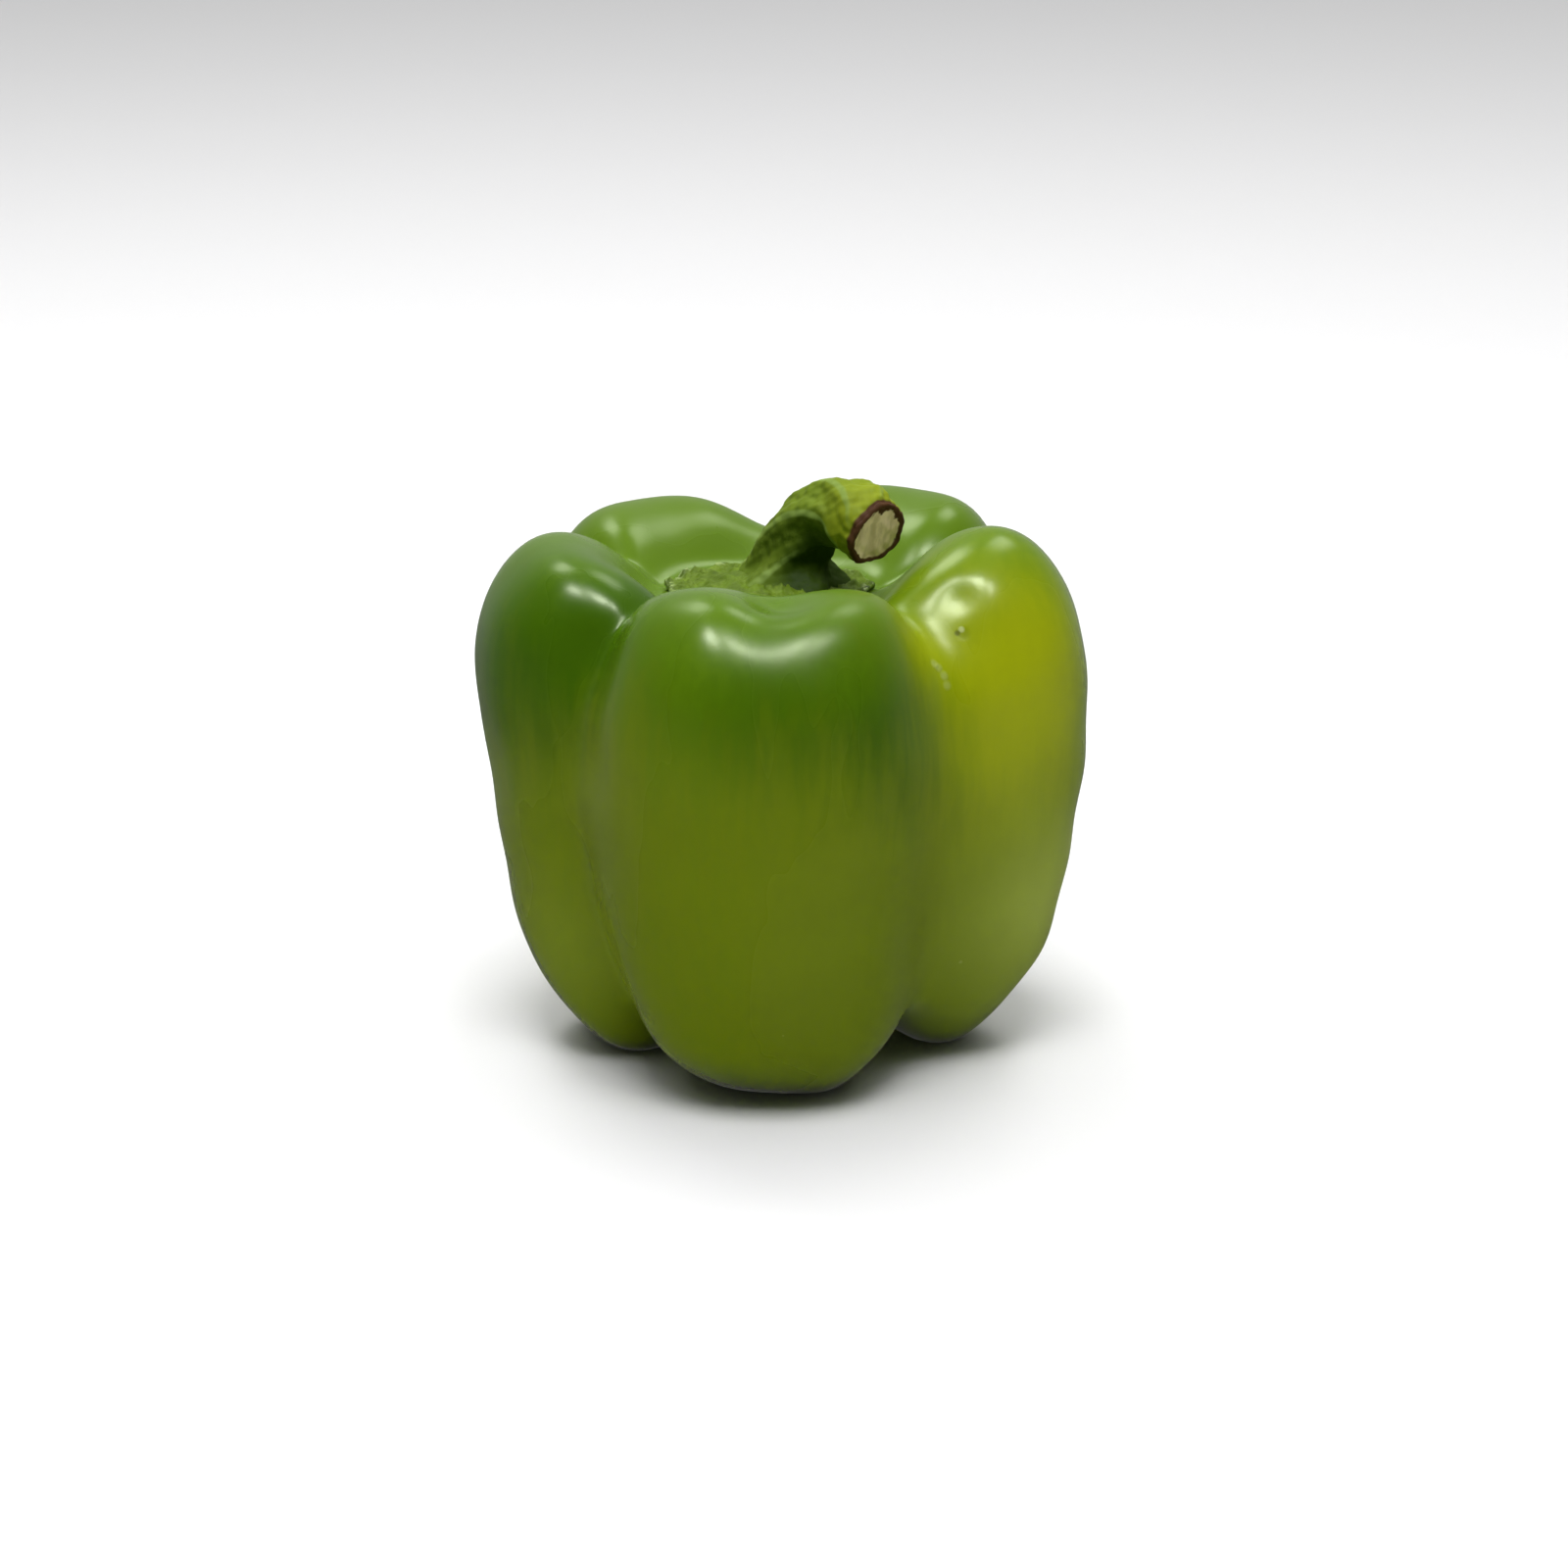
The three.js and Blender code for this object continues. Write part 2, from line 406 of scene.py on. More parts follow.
@dataclass(frozen=True)
class SkinFinish:
    """The waxy skin: green drawn out in soft streaks, olive below, gold on the ripening side."""

    deep: Colour = (0.039, 0.098, 0.0005, 1)
    leaf: Colour = (0.085, 0.165, 0.002, 1)
    olive: Colour = (0.135, 0.188, 0.001, 1)
    gold: Colour = (0.28, 0.325, 0.002, 1)
    # pale: painted light, a lighter tone on the back lobes and the crown as if lit from above
    pale: Colour = (0.085, 0.155, 0.008, 1)
    # painted sheen: a whitish reflection painted into the colour of the lower lobes
    painted_sheen: Colour = (0.29, 0.36, 0.045, 1)
    dot: Colour = (0.3, 0.36, 0.1, 1)
    cloud_share: float = 0.3  # how much of the unevenness is clouds, and how much is streaks
    streak_share: float = 0.14
    deep_span: tuple[float, float] = (0.1, 1.2)
    olive_span: tuple[float, float] = (0.2, 1.3)
    gold_span: tuple[float, float] = (0.1, 1.2)
    gold_uneven: float = 0.4
    dot_weight: float = 0.5
    roughness: tuple[float, float] = (0.24, 0.34)
    specular: float = 0.3
    specular_tint: Colour = (0.8, 1.0, 0.45, 1)
    pore_scale: float = 700.0
    pore_size: float = 0.00002
    mark_height: float = 0.0004
    marks: tuple[Mark, ...] = (
        Mark((26, -23.1, 66.6), 1.3, (0.1, 0.13, 0.002, 1), 0.35, -0.2),
        Mark((25.6, -22.9, 66.9), 0.6, (0.42, 0.47, 0.2, 1), 0.7, 0.2),
        Mark((25.2, -22.6, 66.0), 0.6, (0.04, 0.045, 0.002, 1), 0.7),
        Mark((21.8, -27.1, 63.6), 0.9, (0.3, 0.36, 0.1, 1), 0.5, 0.5),
        Mark((22.4, -27.4, 62.6), 0.9, (0.3, 0.36, 0.1, 1), 0.5, 0.5),
        Mark((22.9, -27.6, 61.6), 0.9, (0.3, 0.36, 0.1, 1), 0.5, 0.5),
        Mark((23.5, -27.8, 60.5), 0.9, (0.3, 0.36, 0.1, 1), 0.4, 0.4),
    )

    def material(self, places: list[Array]) -> bpy.types.Material:
        """Builds the material; it reads the point values deep (with a painted shade along one furrow),
        olive, gold, pale (painted light) and bleached (a painted sheen).

        Args:
            places: where the marks lie on the finished skin, in metres in the CAD frame.

        Returns:
            The material.
        """
        material, nodes, shader = new_material("pepper_skin")
        mottle = nodes.group(Effect.MOTTLE, Scale=45.0, Stretch=0.35, Fineness=14.0)
        clouds, streaks = mottle.outputs["Clouds"], mottle.outputs["Streaks"]
        uneven = nodes.blend(clouds, self.cloud_share, streaks, self.streak_share)
        shady = nodes.math("ADD", nodes.value("deep"), uneven)
        green = nodes.mix(nodes.span(shady, *self.deep_span), self.leaf, self.deep)
        lower = nodes.math("ADD", nodes.value("olive"), uneven)
        warm = nodes.mix(nodes.span(lower, *self.olive_span), green, self.olive)
        ripening = nodes.math("ADD", nodes.value("gold"), nodes.math("MULTIPLY", uneven, self.gold_uneven))
        ripe = nodes.mix(nodes.span(ripening, *self.gold_span), warm, self.gold)
        # painted light: the pale value lightens the back lobes and the crown
        light = nodes.mix(nodes.value("pale"), ripe, self.pale)
        # painted sheen: a whitish reflection laid over the colours
        with_sheen = nodes.mix(nodes.value("painted_sheen"), light, self.painted_sheen)
        dots = nodes.group(Effect.SPECKLE, Scale=160.0, Size=0.05, Share=0.12).outputs["Dots"]
        colour = nodes.mix(nodes.math("MULTIPLY", dots, self.dot_weight), with_sheen, self.dot)
        place = nodes.add("TexCoord").outputs["Object"]
        relief = nodes.add("TexNoise", Vector=place, Scale=self.pore_scale, Detail=2.0).outputs["Fac"]
        relief = nodes.math("MULTIPLY", relief, self.pore_size / self.mark_height)
        for mark, (x, y, z) in zip(self.marks, places):
            share = nodes.group(Effect.MARK, X=x, Y=y, Z=z, Reach=mark.reach * MM).outputs["Share"]
            colour = nodes.mix(nodes.math("MULTIPLY", share, mark.weight), colour, mark.colour)
            relief = nodes.math("ADD", relief, nodes.math("MULTIPLY", share, mark.height))
        nodes.feed(shader.inputs["Base Color"], colour)
        nodes.feed(shader.inputs["Roughness"], nodes.span(clouds, 0.0, 1.0, self.roughness))
        bump = nodes.add("Bump", Height=relief, Distance=self.mark_height, Strength=0.5)
        nodes.feed(shader.inputs["Normal"], bump.outputs[0])
        shader.inputs["Specular IOR Level"].default_value = self.specular
        shader.inputs["Specular Tint"].default_value = self.specular_tint
        return material


@dataclass(frozen=True)
class StemFinish:
    """The dull, finely haired stalk: light ribs, painted light on its upper side and painted shade on its
    lower right side, yellow near the tip, and a dry brown-rimmed cut.
    """

    shade: Colour = (0.02, 0.042, 0.001, 1)
    green: Colour = (0.065, 0.105, 0.006, 1)
    # light: painted light, the colour of the upward-facing side of the stalk
    light: Colour = (0.115, 0.17, 0.01, 1)
    rib: Colour = (0.2, 0.29, 0.06, 1)
    tip: Colour = (0.2, 0.25, 0.01, 1)
    base: Colour = (0.1, 0.16, 0.012, 1)
    hair: Colour = (0.17, 0.24, 0.03, 1)
    pith: Colour = (0.95, 0.78, 0.46, 1)
    husk: Colour = (0.55, 0.43, 0.2, 1)
    bark: Colour = (0.07, 0.032, 0.012, 1)
    cloud_share: float = 0.15  # how much of the unevenness is clouds, and how much is streaks
    streak_share: float = 0.12
    hair_weight: float = 0.3
    husk_weight: float = 0.7
    roughness: float = 0.6
    specular: float = 0.05
    hair_height: float = 0.00012

    def material(self) -> bpy.types.Material:
        """Builds the material; it reads the point values base, shade, light, rib, tip, cut and rim."""
        material, nodes, shader = new_material("stem_surface")
        mottle = nodes.group(Effect.MOTTLE, Scale=160.0, Stretch=0.6, Fineness=5.0)
        fuzz = nodes.group(Effect.FUZZ, Scale=2200.0)
        clouds, streaks = mottle.outputs["Clouds"], mottle.outputs["Streaks"]
        uneven = nodes.blend(clouds, self.cloud_share, streaks, self.streak_share)
        lit = nodes.mix(nodes.math("ADD", nodes.value("light"), uneven), self.green, self.light)
        aged = nodes.mix(nodes.value("tip"), lit, self.tip)
        flared = nodes.mix(nodes.value("base"), aged, self.base)
        ribbed = nodes.mix(nodes.value("rib"), flared, self.rib)
        shaded = nodes.mix(nodes.value("shade"), ribbed, self.shade)
        hairs = nodes.math("MULTIPLY", fuzz.outputs["Pale"], self.hair_weight)
        open_side = nodes.math("SUBTRACT", 1.0, nodes.value("shade"))
        haired = nodes.mix(nodes.math("MULTIPLY", hairs, open_side), shaded, self.hair)
        grain = nodes.mix(nodes.math("MULTIPLY", streaks, self.husk_weight), self.pith, self.husk)
        faced = nodes.mix(nodes.value("cut"), haired, grain)
        colour = nodes.mix(nodes.value("rim"), faced, self.bark)
        nodes.feed(shader.inputs["Base Color"], colour)
        shader.inputs["Roughness"].default_value = self.roughness
        bump = nodes.add("Bump", Height=fuzz.outputs["Height"], Distance=self.hair_height, Strength=0.7)
        nodes.feed(shader.inputs["Normal"], bump.outputs[0])
        shader.inputs["Specular IOR Level"].default_value = self.specular
        return material


@dataclass(frozen=True)
class CalyxFinish:
    """The haired calyx, with darker hollows, and curled bits at its edge that are glossy and carry painted
    glints.
    """

    green: Colour = (0.1, 0.165, 0.005, 1)
    hollow: Colour = (0.065, 0.11, 0.003, 1)
    hair: Colour = (0.17, 0.24, 0.03, 1)
    edge: Colour = (0.04, 0.07, 0.004, 1)
    # shine: a pale colour painted on curled bits of the edge as glints, beside their real lower roughness
    shine: Colour = (0.4, 0.5, 0.2, 1)
    hair_weight: float = 0.4
    shine_span: tuple[float, float] = (0.4, 0.7)  # streaks, from dull to shining at the edge
    edge_span: tuple[float, float] = (0.8, 0.35)  # clouds, from haired to curled at the edge
    roughness: tuple[float, float] = (0.6, 0.15)  # of the haired face and of the curled edge
    specular: float = 0.2
    specular_tint: Colour = (0.8, 1.0, 0.45, 1)
    hair_height: float = 0.0003

    def material(self) -> bpy.types.Material:
        """Builds the material; it reads the point value edge."""
        material, nodes, shader = new_material("calyx_surface")
        mottle = nodes.group(Effect.MOTTLE, Scale=300.0, Stretch=1.0, Fineness=3.0)
        clouds, streaks = mottle.outputs["Clouds"], mottle.outputs["Streaks"]
        fuzz = nodes.group(Effect.FUZZ, Scale=1600.0)
        green = nodes.mix(clouds, self.hollow, self.green)
        hairs = nodes.math("MULTIPLY", fuzz.outputs["Pale"], self.hair_weight)
        haired = nodes.mix(hairs, green, self.hair)
        # painted glint: some curled bits of the edge take the pale shine colour
        curled = nodes.mix(nodes.span(streaks, *self.shine_span), self.edge, self.shine)
        edged = nodes.math("MULTIPLY", nodes.value("edge"), nodes.span(clouds, *self.edge_span))
        nodes.feed(shader.inputs["Base Color"], nodes.mix(edged, haired, curled))
        nodes.feed(shader.inputs["Roughness"], nodes.span(edged, 0.0, 1.0, self.roughness))
        bump = nodes.add("Bump", Height=fuzz.outputs["Height"], Distance=self.hair_height, Strength=0.8)
        nodes.feed(shader.inputs["Normal"], bump.outputs[0])
        shader.inputs["Specular IOR Level"].default_value = self.specular
        shader.inputs["Specular Tint"].default_value = self.specular_tint
        return material


# ---------------------------------------------------------------- fruit


@dataclass(frozen=True)
class Lobe:
    """One lobe of the fruit, from its own furrow round to the next lobe's."""

    furrow: float  # azimuth of the furrow where it starts
    width: float  # scale of its reach
    crest: float  # lift of its top
    full: tuple[float, float]  # how flat its face is between the furrows, at its ends and its side
    lean: float = 0.0  # move of its ridge towards its own furrow
    bow: float = 0.0  # turn of its furrow at the side
    crisp: float = 1.0  # scale of the rounding of its furrow
    shoulder: float = 0.0  # push outwards of the upper side
    belly: float = 0.0  # push outwards of the lower side


@dataclass(frozen=True)
class Spot:
    """A round place on the pepper whose effect fades out at its reach."""

    at: tuple[float, float, float]
    reach: float
    amount: float = 1.0

    def fade(self, points: Array) -> Array:
        """The spot's effect at each point: its amount in the middle, fading as a bell curve."""
        return self.amount * hill(np.linalg.norm(points - np.array(self.at), axis=-1), self.reach)


@dataclass(frozen=True)
class Dent:
    """A shallow dent or bump: a spot whose middle is pushed by a vector."""

    spot: Spot
    push: tuple[float, float, float]


@dataclass
class Fruit:
    """The five-lobed berry, in millimetres."""

    furrow_outline: tuple[tuple[float, float], ...] = (
        (0, 67), (7, 67), (13, 66), (17.5, 65), (22.5, 70), (31, 68.5), (37.5, 62),
        (39, 46), (36.5, 31), (32.5, 18), (30, 10), (18, 8.5), (9, 6.5), (0, 8),
    )
    # Reach, height, and the shares of a lobe's own crest, shoulder and belly.
    lobe_outline: tuple[tuple[float, float, float, float, float], ...] = (
        (0, 67, 0, 0, 0),
        (7, 67, 0, 0, 0),
        (13, 66.5, 0, 0, 0),
        (18, 67.5, 0.5, 0, 0),
        (23, 75.5, 1, 0, 0),
        (35, 79.5, 1, 0.6, 0),
        (45, 68, 0.8, 1, 0),
        (45, 52, 0.25, 0.5, 0.5),
        (41.5, 32, 0, 0, 1),
        (39.5, 15.5, 0, 0, 0.6),
        (31, 3, 0, 0, 0),
        (22.5, -3, 0, 0, 0),
        (9, 6.5, 0, 0, 0),
        (0, 8, 0, 0, 0),
    )
    lobes: tuple[Lobe, ...] = (
        Lobe(furrow=-132, width=1.08, crest=-1.5, full=(4.1, 2.5), belly=1.2, bow=-5.5, crisp=0.5),
        Lobe(furrow=-50, width=0.99, crest=0.8, full=(1.8, 1.9), belly=2.7),
        Lobe(furrow=19, width=0.98, crest=-1.8, full=(3.9, 2.8), lean=0.08),
        Lobe(furrow=88, width=0.98, crest=-3.5, full=(3.5, 2.9), lean=-0.22),
        Lobe(furrow=157, width=1, crest=-1.9, full=(4, 2.6), lean=-0.06, shoulder=-1, belly=-1.7),
    )
    side_middle: float = 0.56
    side_reach: float = 0.16
    bow_middle: float = 0.6
    bow_reach: float = 0.17
    rounding_crown: float = 0.1
    rounding_side: float = 0.4
    rounding_base: float = 0.25
    crown_offset: tuple[float, float] = (-1.6, -0.2)
    crown_end: float = 0.45  # place on the outline where the crown's offset has faded out
    base_offset: tuple[float, float] = (1.9, 2.6)
    base_start: float = 0.6  # place on the outline where the base's offset sets in
    foot_sink: float = 0.6
    dents: tuple[Dent, ...] = (
        Dent(Spot((0.5, -34, 75.5), 11), (0, 0.8, -2.9)),
        Dent(Spot((-3, -40.5, 72), 9), (0.1, 0.4, -0.4)),
        Dent(Spot((-21.5, -22, 68), 10), (0, -0.8, 0.7)),
        Dent(Spot((25.6, -20.2, 70.8), 5), (0.1, 0.3, -0.35)),
        Dent(Spot((-41, -13, 47), 22), (0.7, 0.1, 0)),
    )
    gold_spots: tuple[Spot, ...] = (
        Spot((32, -21, 62), 34, 0.9),
        Spot((36, -22, 46), 30, 0.35),
        Spot((19, -30, 68), 12, 0.3),
    )
    # painted sheen: spots where a whitish reflection is painted in, mostly on the lower right lobe
    painted_sheen_spots: tuple[Spot, ...] = (
        Spot((38, -14, 25), 28, 0.95),
        Spot((-30, -20, 18), 24, 0.2),
    )
    deep_spots: tuple[Spot, ...] = (
        Spot((18, -40, 50), 36, 0.95),
        Spot((22, -35, 30), 30, 0.75),
        Spot((-2, -45, 60), 26, 0.75),
        Spot((-28, -22, 62), 36, 0.9),
        Spot((-40, -10, 58), 30, 0.4),
    )
    # Where the colours change: the start of each change and the length over which it comes.
    green_rise: tuple[float, float] = (30, 34)  # height, from olive to green
    olive_lift: float = 10  # how much higher the olive reaches on the front left
    front_rise: tuple[float, float] = (15, 20)  # way to the front
    left_rise: tuple[float, float] = (-20, 14)  # way to the left
    back_rise: tuple[float, float] = (-5, 25)  # way to the back
    top_rise: tuple[float, float] = (40, 25)  # height of the painted light on the back lobes
    furrow_shade_rise: tuple[float, float] = (0.6, 0.4)  # place across the last lobe, where the painted furrow shade sets in
    painted_light_crown_end: float = 0.3  # place on the outline where the crown's painted light ends
    crown_painted_light: float = 0.7
    back_painted_light: float = 0.6
    furrow_shade_depth: float = 0.7
    lobe_steps: int = 60
    outline_steps: int = 210
    relief_seed: int = 3
    relief_height: float = 0.1
    relief_length: float = 16.0

    def outline(self, lobe: Lobe) -> Array:
        """The control points of one lobe along its ridge: the common ones with its own changes."""
        reach, height, crest, shoulder, belly = np.array(self.lobe_outline, dtype=float).T
        scale = 1 + (lobe.width - 1) * np.clip(reach / 30, 0, 1)
        sideways = shoulder * lobe.shoulder + belly * lobe.belly
        return np.stack([reach * scale + sideways, height + crest * lobe.crest], axis=-1)

    def sideness(self, along: Array) -> Array:
        """How much a place on the outline belongs to the fruit's side: a flat-topped bell curve."""
        return np.exp(-(((along - self.side_middle) / self.side_reach) ** 4))

    def rounding(self, along: Array) -> Array:
        """How softly the furrow is rounded: its side value, fading to those of crown and base."""
        at_end = np.where(along < self.side_middle, self.rounding_crown, self.rounding_base)
        return at_end + (self.rounding_side - at_end) * self.sideness(along)

    def furrow_at(self, index: int, along: Array) -> Array:
        """The azimuth of a lobe's own furrow; after the last lobe comes the front one again."""
        lobe = self.lobes[index % len(self.lobes)]
        bow = lobe.bow * np.exp(-(((along - self.bow_middle) / self.bow_reach) ** 2))
        return lobe.furrow + bow + 360 * (index // len(self.lobes))

    def skin(self, index: int, across: Array, along: Array) -> Array:
        """Points of one lobe's skin.

        The section at a place across the lobe is the furrow's outline moved towards the ridge's
        by 1-(1-s)^full, where s is the rounded share of the way in from the furrow. A
        leaning ridge first turns each place a into a + lean (1-a^2).

        Args:
            index: which lobe, counted from the front one.
            across: places from -1 at its own furrow to 1 at the next.
            along: places on the outline, from 0 in the crown to 1 under the base.

        Returns:
            Points with a last axis of X, Y and Z.
        """
        lobe = self.lobes[index]
        after = self.lobes[(index + 1) % len(self.lobes)]
        soft = self.rounding(along) * np.where(across < 0, lobe.crisp, after.crisp)
        edge = np.abs(across + lobe.lean * (1 - across**2))
        inward = (np.hypot(1 - edge, soft) - soft) / (np.hypot(1, soft) - soft)
        full = lobe.full[0] + (lobe.full[1] - lobe.full[0]) * self.sideness(along)
        swell = (1 - (1 - inward) ** full)[..., None]
        furrow = spline(np.array(self.furrow_outline, dtype=float), along)
        section = furrow + swell * (spline(self.outline(lobe), along) - furrow)
        start, end = (self.furrow_at(i, along) for i in (index, index + 1))
        azimuth = np.radians(start + (end - start) * (across + 1) / 2)
        level = section[..., :1] * np.stack([np.cos(azimuth), np.sin(azimuth)], axis=-1)
        level = level + ease(1 - along / self.crown_end)[..., None] * np.array(self.crown_offset)
        base = rise(along, self.base_start, 1 - self.base_start)
        level = level + base[..., None] * np.array(self.base_offset)
        points = np.concatenate([level, section[..., 1:] - self.foot_sink], axis=-1)
        for dent in self.dents:
            points = points + dent.spot.fade(points)[..., None] * np.array(dent.push, dtype=float)
        return points

    def ring_places(self, steps: int) -> list[tuple[int, Array]]:
        """Each lobe's number with its places across; the steps crowd towards the furrows."""
        even = np.linspace(-1, 1, steps, endpoint=False)
        return [(i, 0.5 * even + 0.5 * np.sin(even * math.pi / 2)) for i in range(len(self.lobes))]

    def painted_furrow_shade(self) -> Array:
        """Painted shade: deep green laid on the last lobe's flank by the front lobe, darkening their
        furrow, at each point round a ring.
        """
        places = self.ring_places(self.lobe_steps)
        last = len(self.lobes) - 1
        parts = [(index == last) * rise(across, *self.furrow_shade_rise) for index, across in places]
        return self.furrow_shade_depth * np.concatenate(parts)

    def tones(self, rings: Array, along: Array) -> dict[str, tuple[float, Array, float]]:
        """The values that place the skin's colours, each with those of the two poles.

        Args:
            rings: the finished skin's rings of points.
            along: the place of each ring on the outline.

        Returns:
            Values by name: at the base's pole, at each point and at the crown's pole.
        """
        x, y, height = np.moveaxis(rings, -1, 0)
        # painted light: the crown and the upper back are made paler, as if lit from above
        front = rise(-y, *self.front_rise) * rise(-x, *self.left_rise)
        green = rise(height - self.olive_lift * front, *self.green_rise)
        crown = 1 - ease(np.broadcast_to(along[:, None], height.shape) / self.painted_light_crown_end)
        back = rise(y, *self.back_rise) * rise(height, *self.top_rise)
        pale = np.maximum(crown * self.crown_painted_light, back * self.back_painted_light)
        return {
            "olive": (1.0, 1 - green, 0.0),
            "gold": (0.0, sum(spot.fade(rings) for spot in self.gold_spots), 0.0),
            # deep holds the darker green spots of the skin and the painted shade along the left furrow
            "deep": (0.0, sum(spot.fade(rings) for spot in self.deep_spots) + self.painted_furrow_shade(), 0.0),
            "pale": (0.0, pale, self.crown_painted_light),
            "painted_sheen": (0.0, sum(spot.fade(rings) for spot in self.painted_sheen_spots), 0.0),
        }

    def rings(self, along: Array, steps: int) -> Array:
        """Rings of points right round the fruit.

        Args:
            along: one place on the outline for each ring, or one row of them for each ring
                with a place for each point.
            steps: points across each lobe.

        Returns:
            An array of rings, points and X, Y, Z.
        """
        count = steps * len(self.lobes)
        rows = np.broadcast_to(along if along.ndim == 2 else along[:, None], (len(along), count))
        parts = []
        for index, across in self.ring_places(steps):
            own = rows[:, index * steps : (index + 1) * steps]
            parts.append(self.skin(index, np.broadcast_to(across, own.shape), own))
        return np.concatenate(parts, axis=1)

    def build(self, offset: Array, finish: SkinFinish) -> bpy.types.Object:
        """Builds and dresses the fruit.

        Args:
            offset: move from the working frame to the CAD frame.
            finish: the skin's finish.

        Returns:
            The fruit's object.
        """
        along = np.linspace(1, 0, self.outline_steps + 1)[1:-1]
        rings = self.rings(along, self.lobe_steps)
        relief = self.relief_height * waves(rings, self.relief_seed, self.relief_length)
        rings = rings + outward(rings) * relief[..., None]
        rings[..., 2] = np.maximum(rings[..., 2], 0)
        poles = self.rings(np.array([1.0, 0.0]), self.lobe_steps)[:, 0]
        skin = Skin(poles[0], rings, poles[1], self.tones(rings, along))
        piece = skin.mesh_object("pepper_fruit", offset)
        points = rings.reshape(-1, 3)
        nearest = [points[np.argmin(np.linalg.norm(points - mark.at, axis=1))] for mark in finish.marks]
        piece.data.materials.append(finish.material([(place + offset) * MM for place in nearest]))
        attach(piece, BODY)
        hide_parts("fruit")
        return piece


def outward(rings: Array) -> Array:
    """Unit normals of rings of points: the cross product of the steps round and up the rings."""
    around = np.roll(rings, -1, axis=1) - np.roll(rings, 1, axis=1)
    upwards = np.gradient(rings, axis=0)
    return unit(np.cross(around, upwards))


# ---------------------------------------------------------------- calyx and stem


@dataclass
class Calyx:
    """The disc that lies in the crown, with blunt points and a curled, frilled edge."""

    reach: float = 0.188  # share of the fruit's outline that it covers
    points: int = 5
    point_depth: float = 0.014
    frills: int = 17
    frill_depth: float = 0.003
    frill_bunches: int = 3  # how often round the frills crowd together, and by how much
    frill_crowding: float = 3.0
    frill_changes: int = 41  # how often round their depth changes, and by how much
    frill_change: float = 0.3
    edge: float = 0.9
    top: float = 69.4
    seat: float = 0.8  # power of the way out by which the top falls to the edge
    curl: float = 0.8
    curl_power: int = 8
    # Waves of the relief: height and length, with seeds that count up from the first one.
    relief: tuple[tuple[float, float], ...] = ((0.2, 3.5), (0.12, 1.5), (0.06, 0.8))
    relief_seed: int = 11
    relief_start: float = 0.3  # way out by which the relief has its full height
    curled_rise: tuple[float, float] = (0.86, 0.12)  # way out, from the haired face to the curled edge
    lobe_steps: int = 72
    rows: int = 110

    def build(self, fruit: Fruit, offset: Array, finish: CalyxFinish) -> bpy.types.Object:
        """Builds and dresses the calyx, on the fruit's crown.

        Its section runs from the middle of the underside, at side -1, round the edge, at 0, to
        the middle of the top, at 1, and lies 1 - side^2 of the way out.

        Args:
            fruit: the fruit that it lies on.
            offset: move from the working frame to the CAD frame.
            finish: the calyx's finish.

        Returns:
            The calyx's object.
        """
        side = np.linspace(-1, 1, self.rows + 2)[1:-1, None]
        turn = np.linspace(0, 2 * math.pi, self.lobe_steps * len(fruit.lobes), endpoint=False)
        out = 1 - side**2
        tips = np.cos(self.points * turn)
        crowded = self.frills * turn + self.frill_crowding * np.sin(self.frill_bunches * turn)
        depth = 1 - self.frill_change + self.frill_change * np.sin(self.frill_changes * turn)
        frill = np.sin(crowded) * depth
        along = (self.reach + self.point_depth * tips + self.frill_depth * frill) * out
        rings = fruit.rings(along, self.lobe_steps)
        under = rings[..., 2]
        over = self.top + (under + self.edge - self.top) * ease(out**self.seat)
        above = ease(0.5 + 1.5 * side)
        lift = self.curl * out**self.curl_power * (0.5 + 0.5 * frill)
        layers = enumerate(self.relief, start=self.relief_seed)
        rough = sum(height * waves(rings, seed, length) for seed, (height, length) in layers)
        rings[..., 2] = under + above * (over - under + lift + rough * ease(out / self.relief_start))
        poles = np.array([rings[0].mean(axis=0), rings[-1].mean(axis=0)])
        edge = np.broadcast_to(rise(out, *self.curled_rise), under.shape) * (0.6 + 0.3 * frill)
        skin = Skin(poles[0], rings, poles[1], {"edge": (0.0, edge, 0.0)})
        piece = skin.mesh_object("pepper_calyx", offset)
        piece.data.materials.append(finish.material())
        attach(piece, BODY)
        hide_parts("calyx")
        return piece


@dataclass(frozen=True)
class Sections:
    """The stem's sections, with a row for each ring."""

    centre: Array
    way: Array  # unit vector that the section faces
    radius: Array
    share: Array  # place along the stem, which is 1 all over the cut
    scale: Array  # share of the tip's radius on the cut, which is 1 along the stem


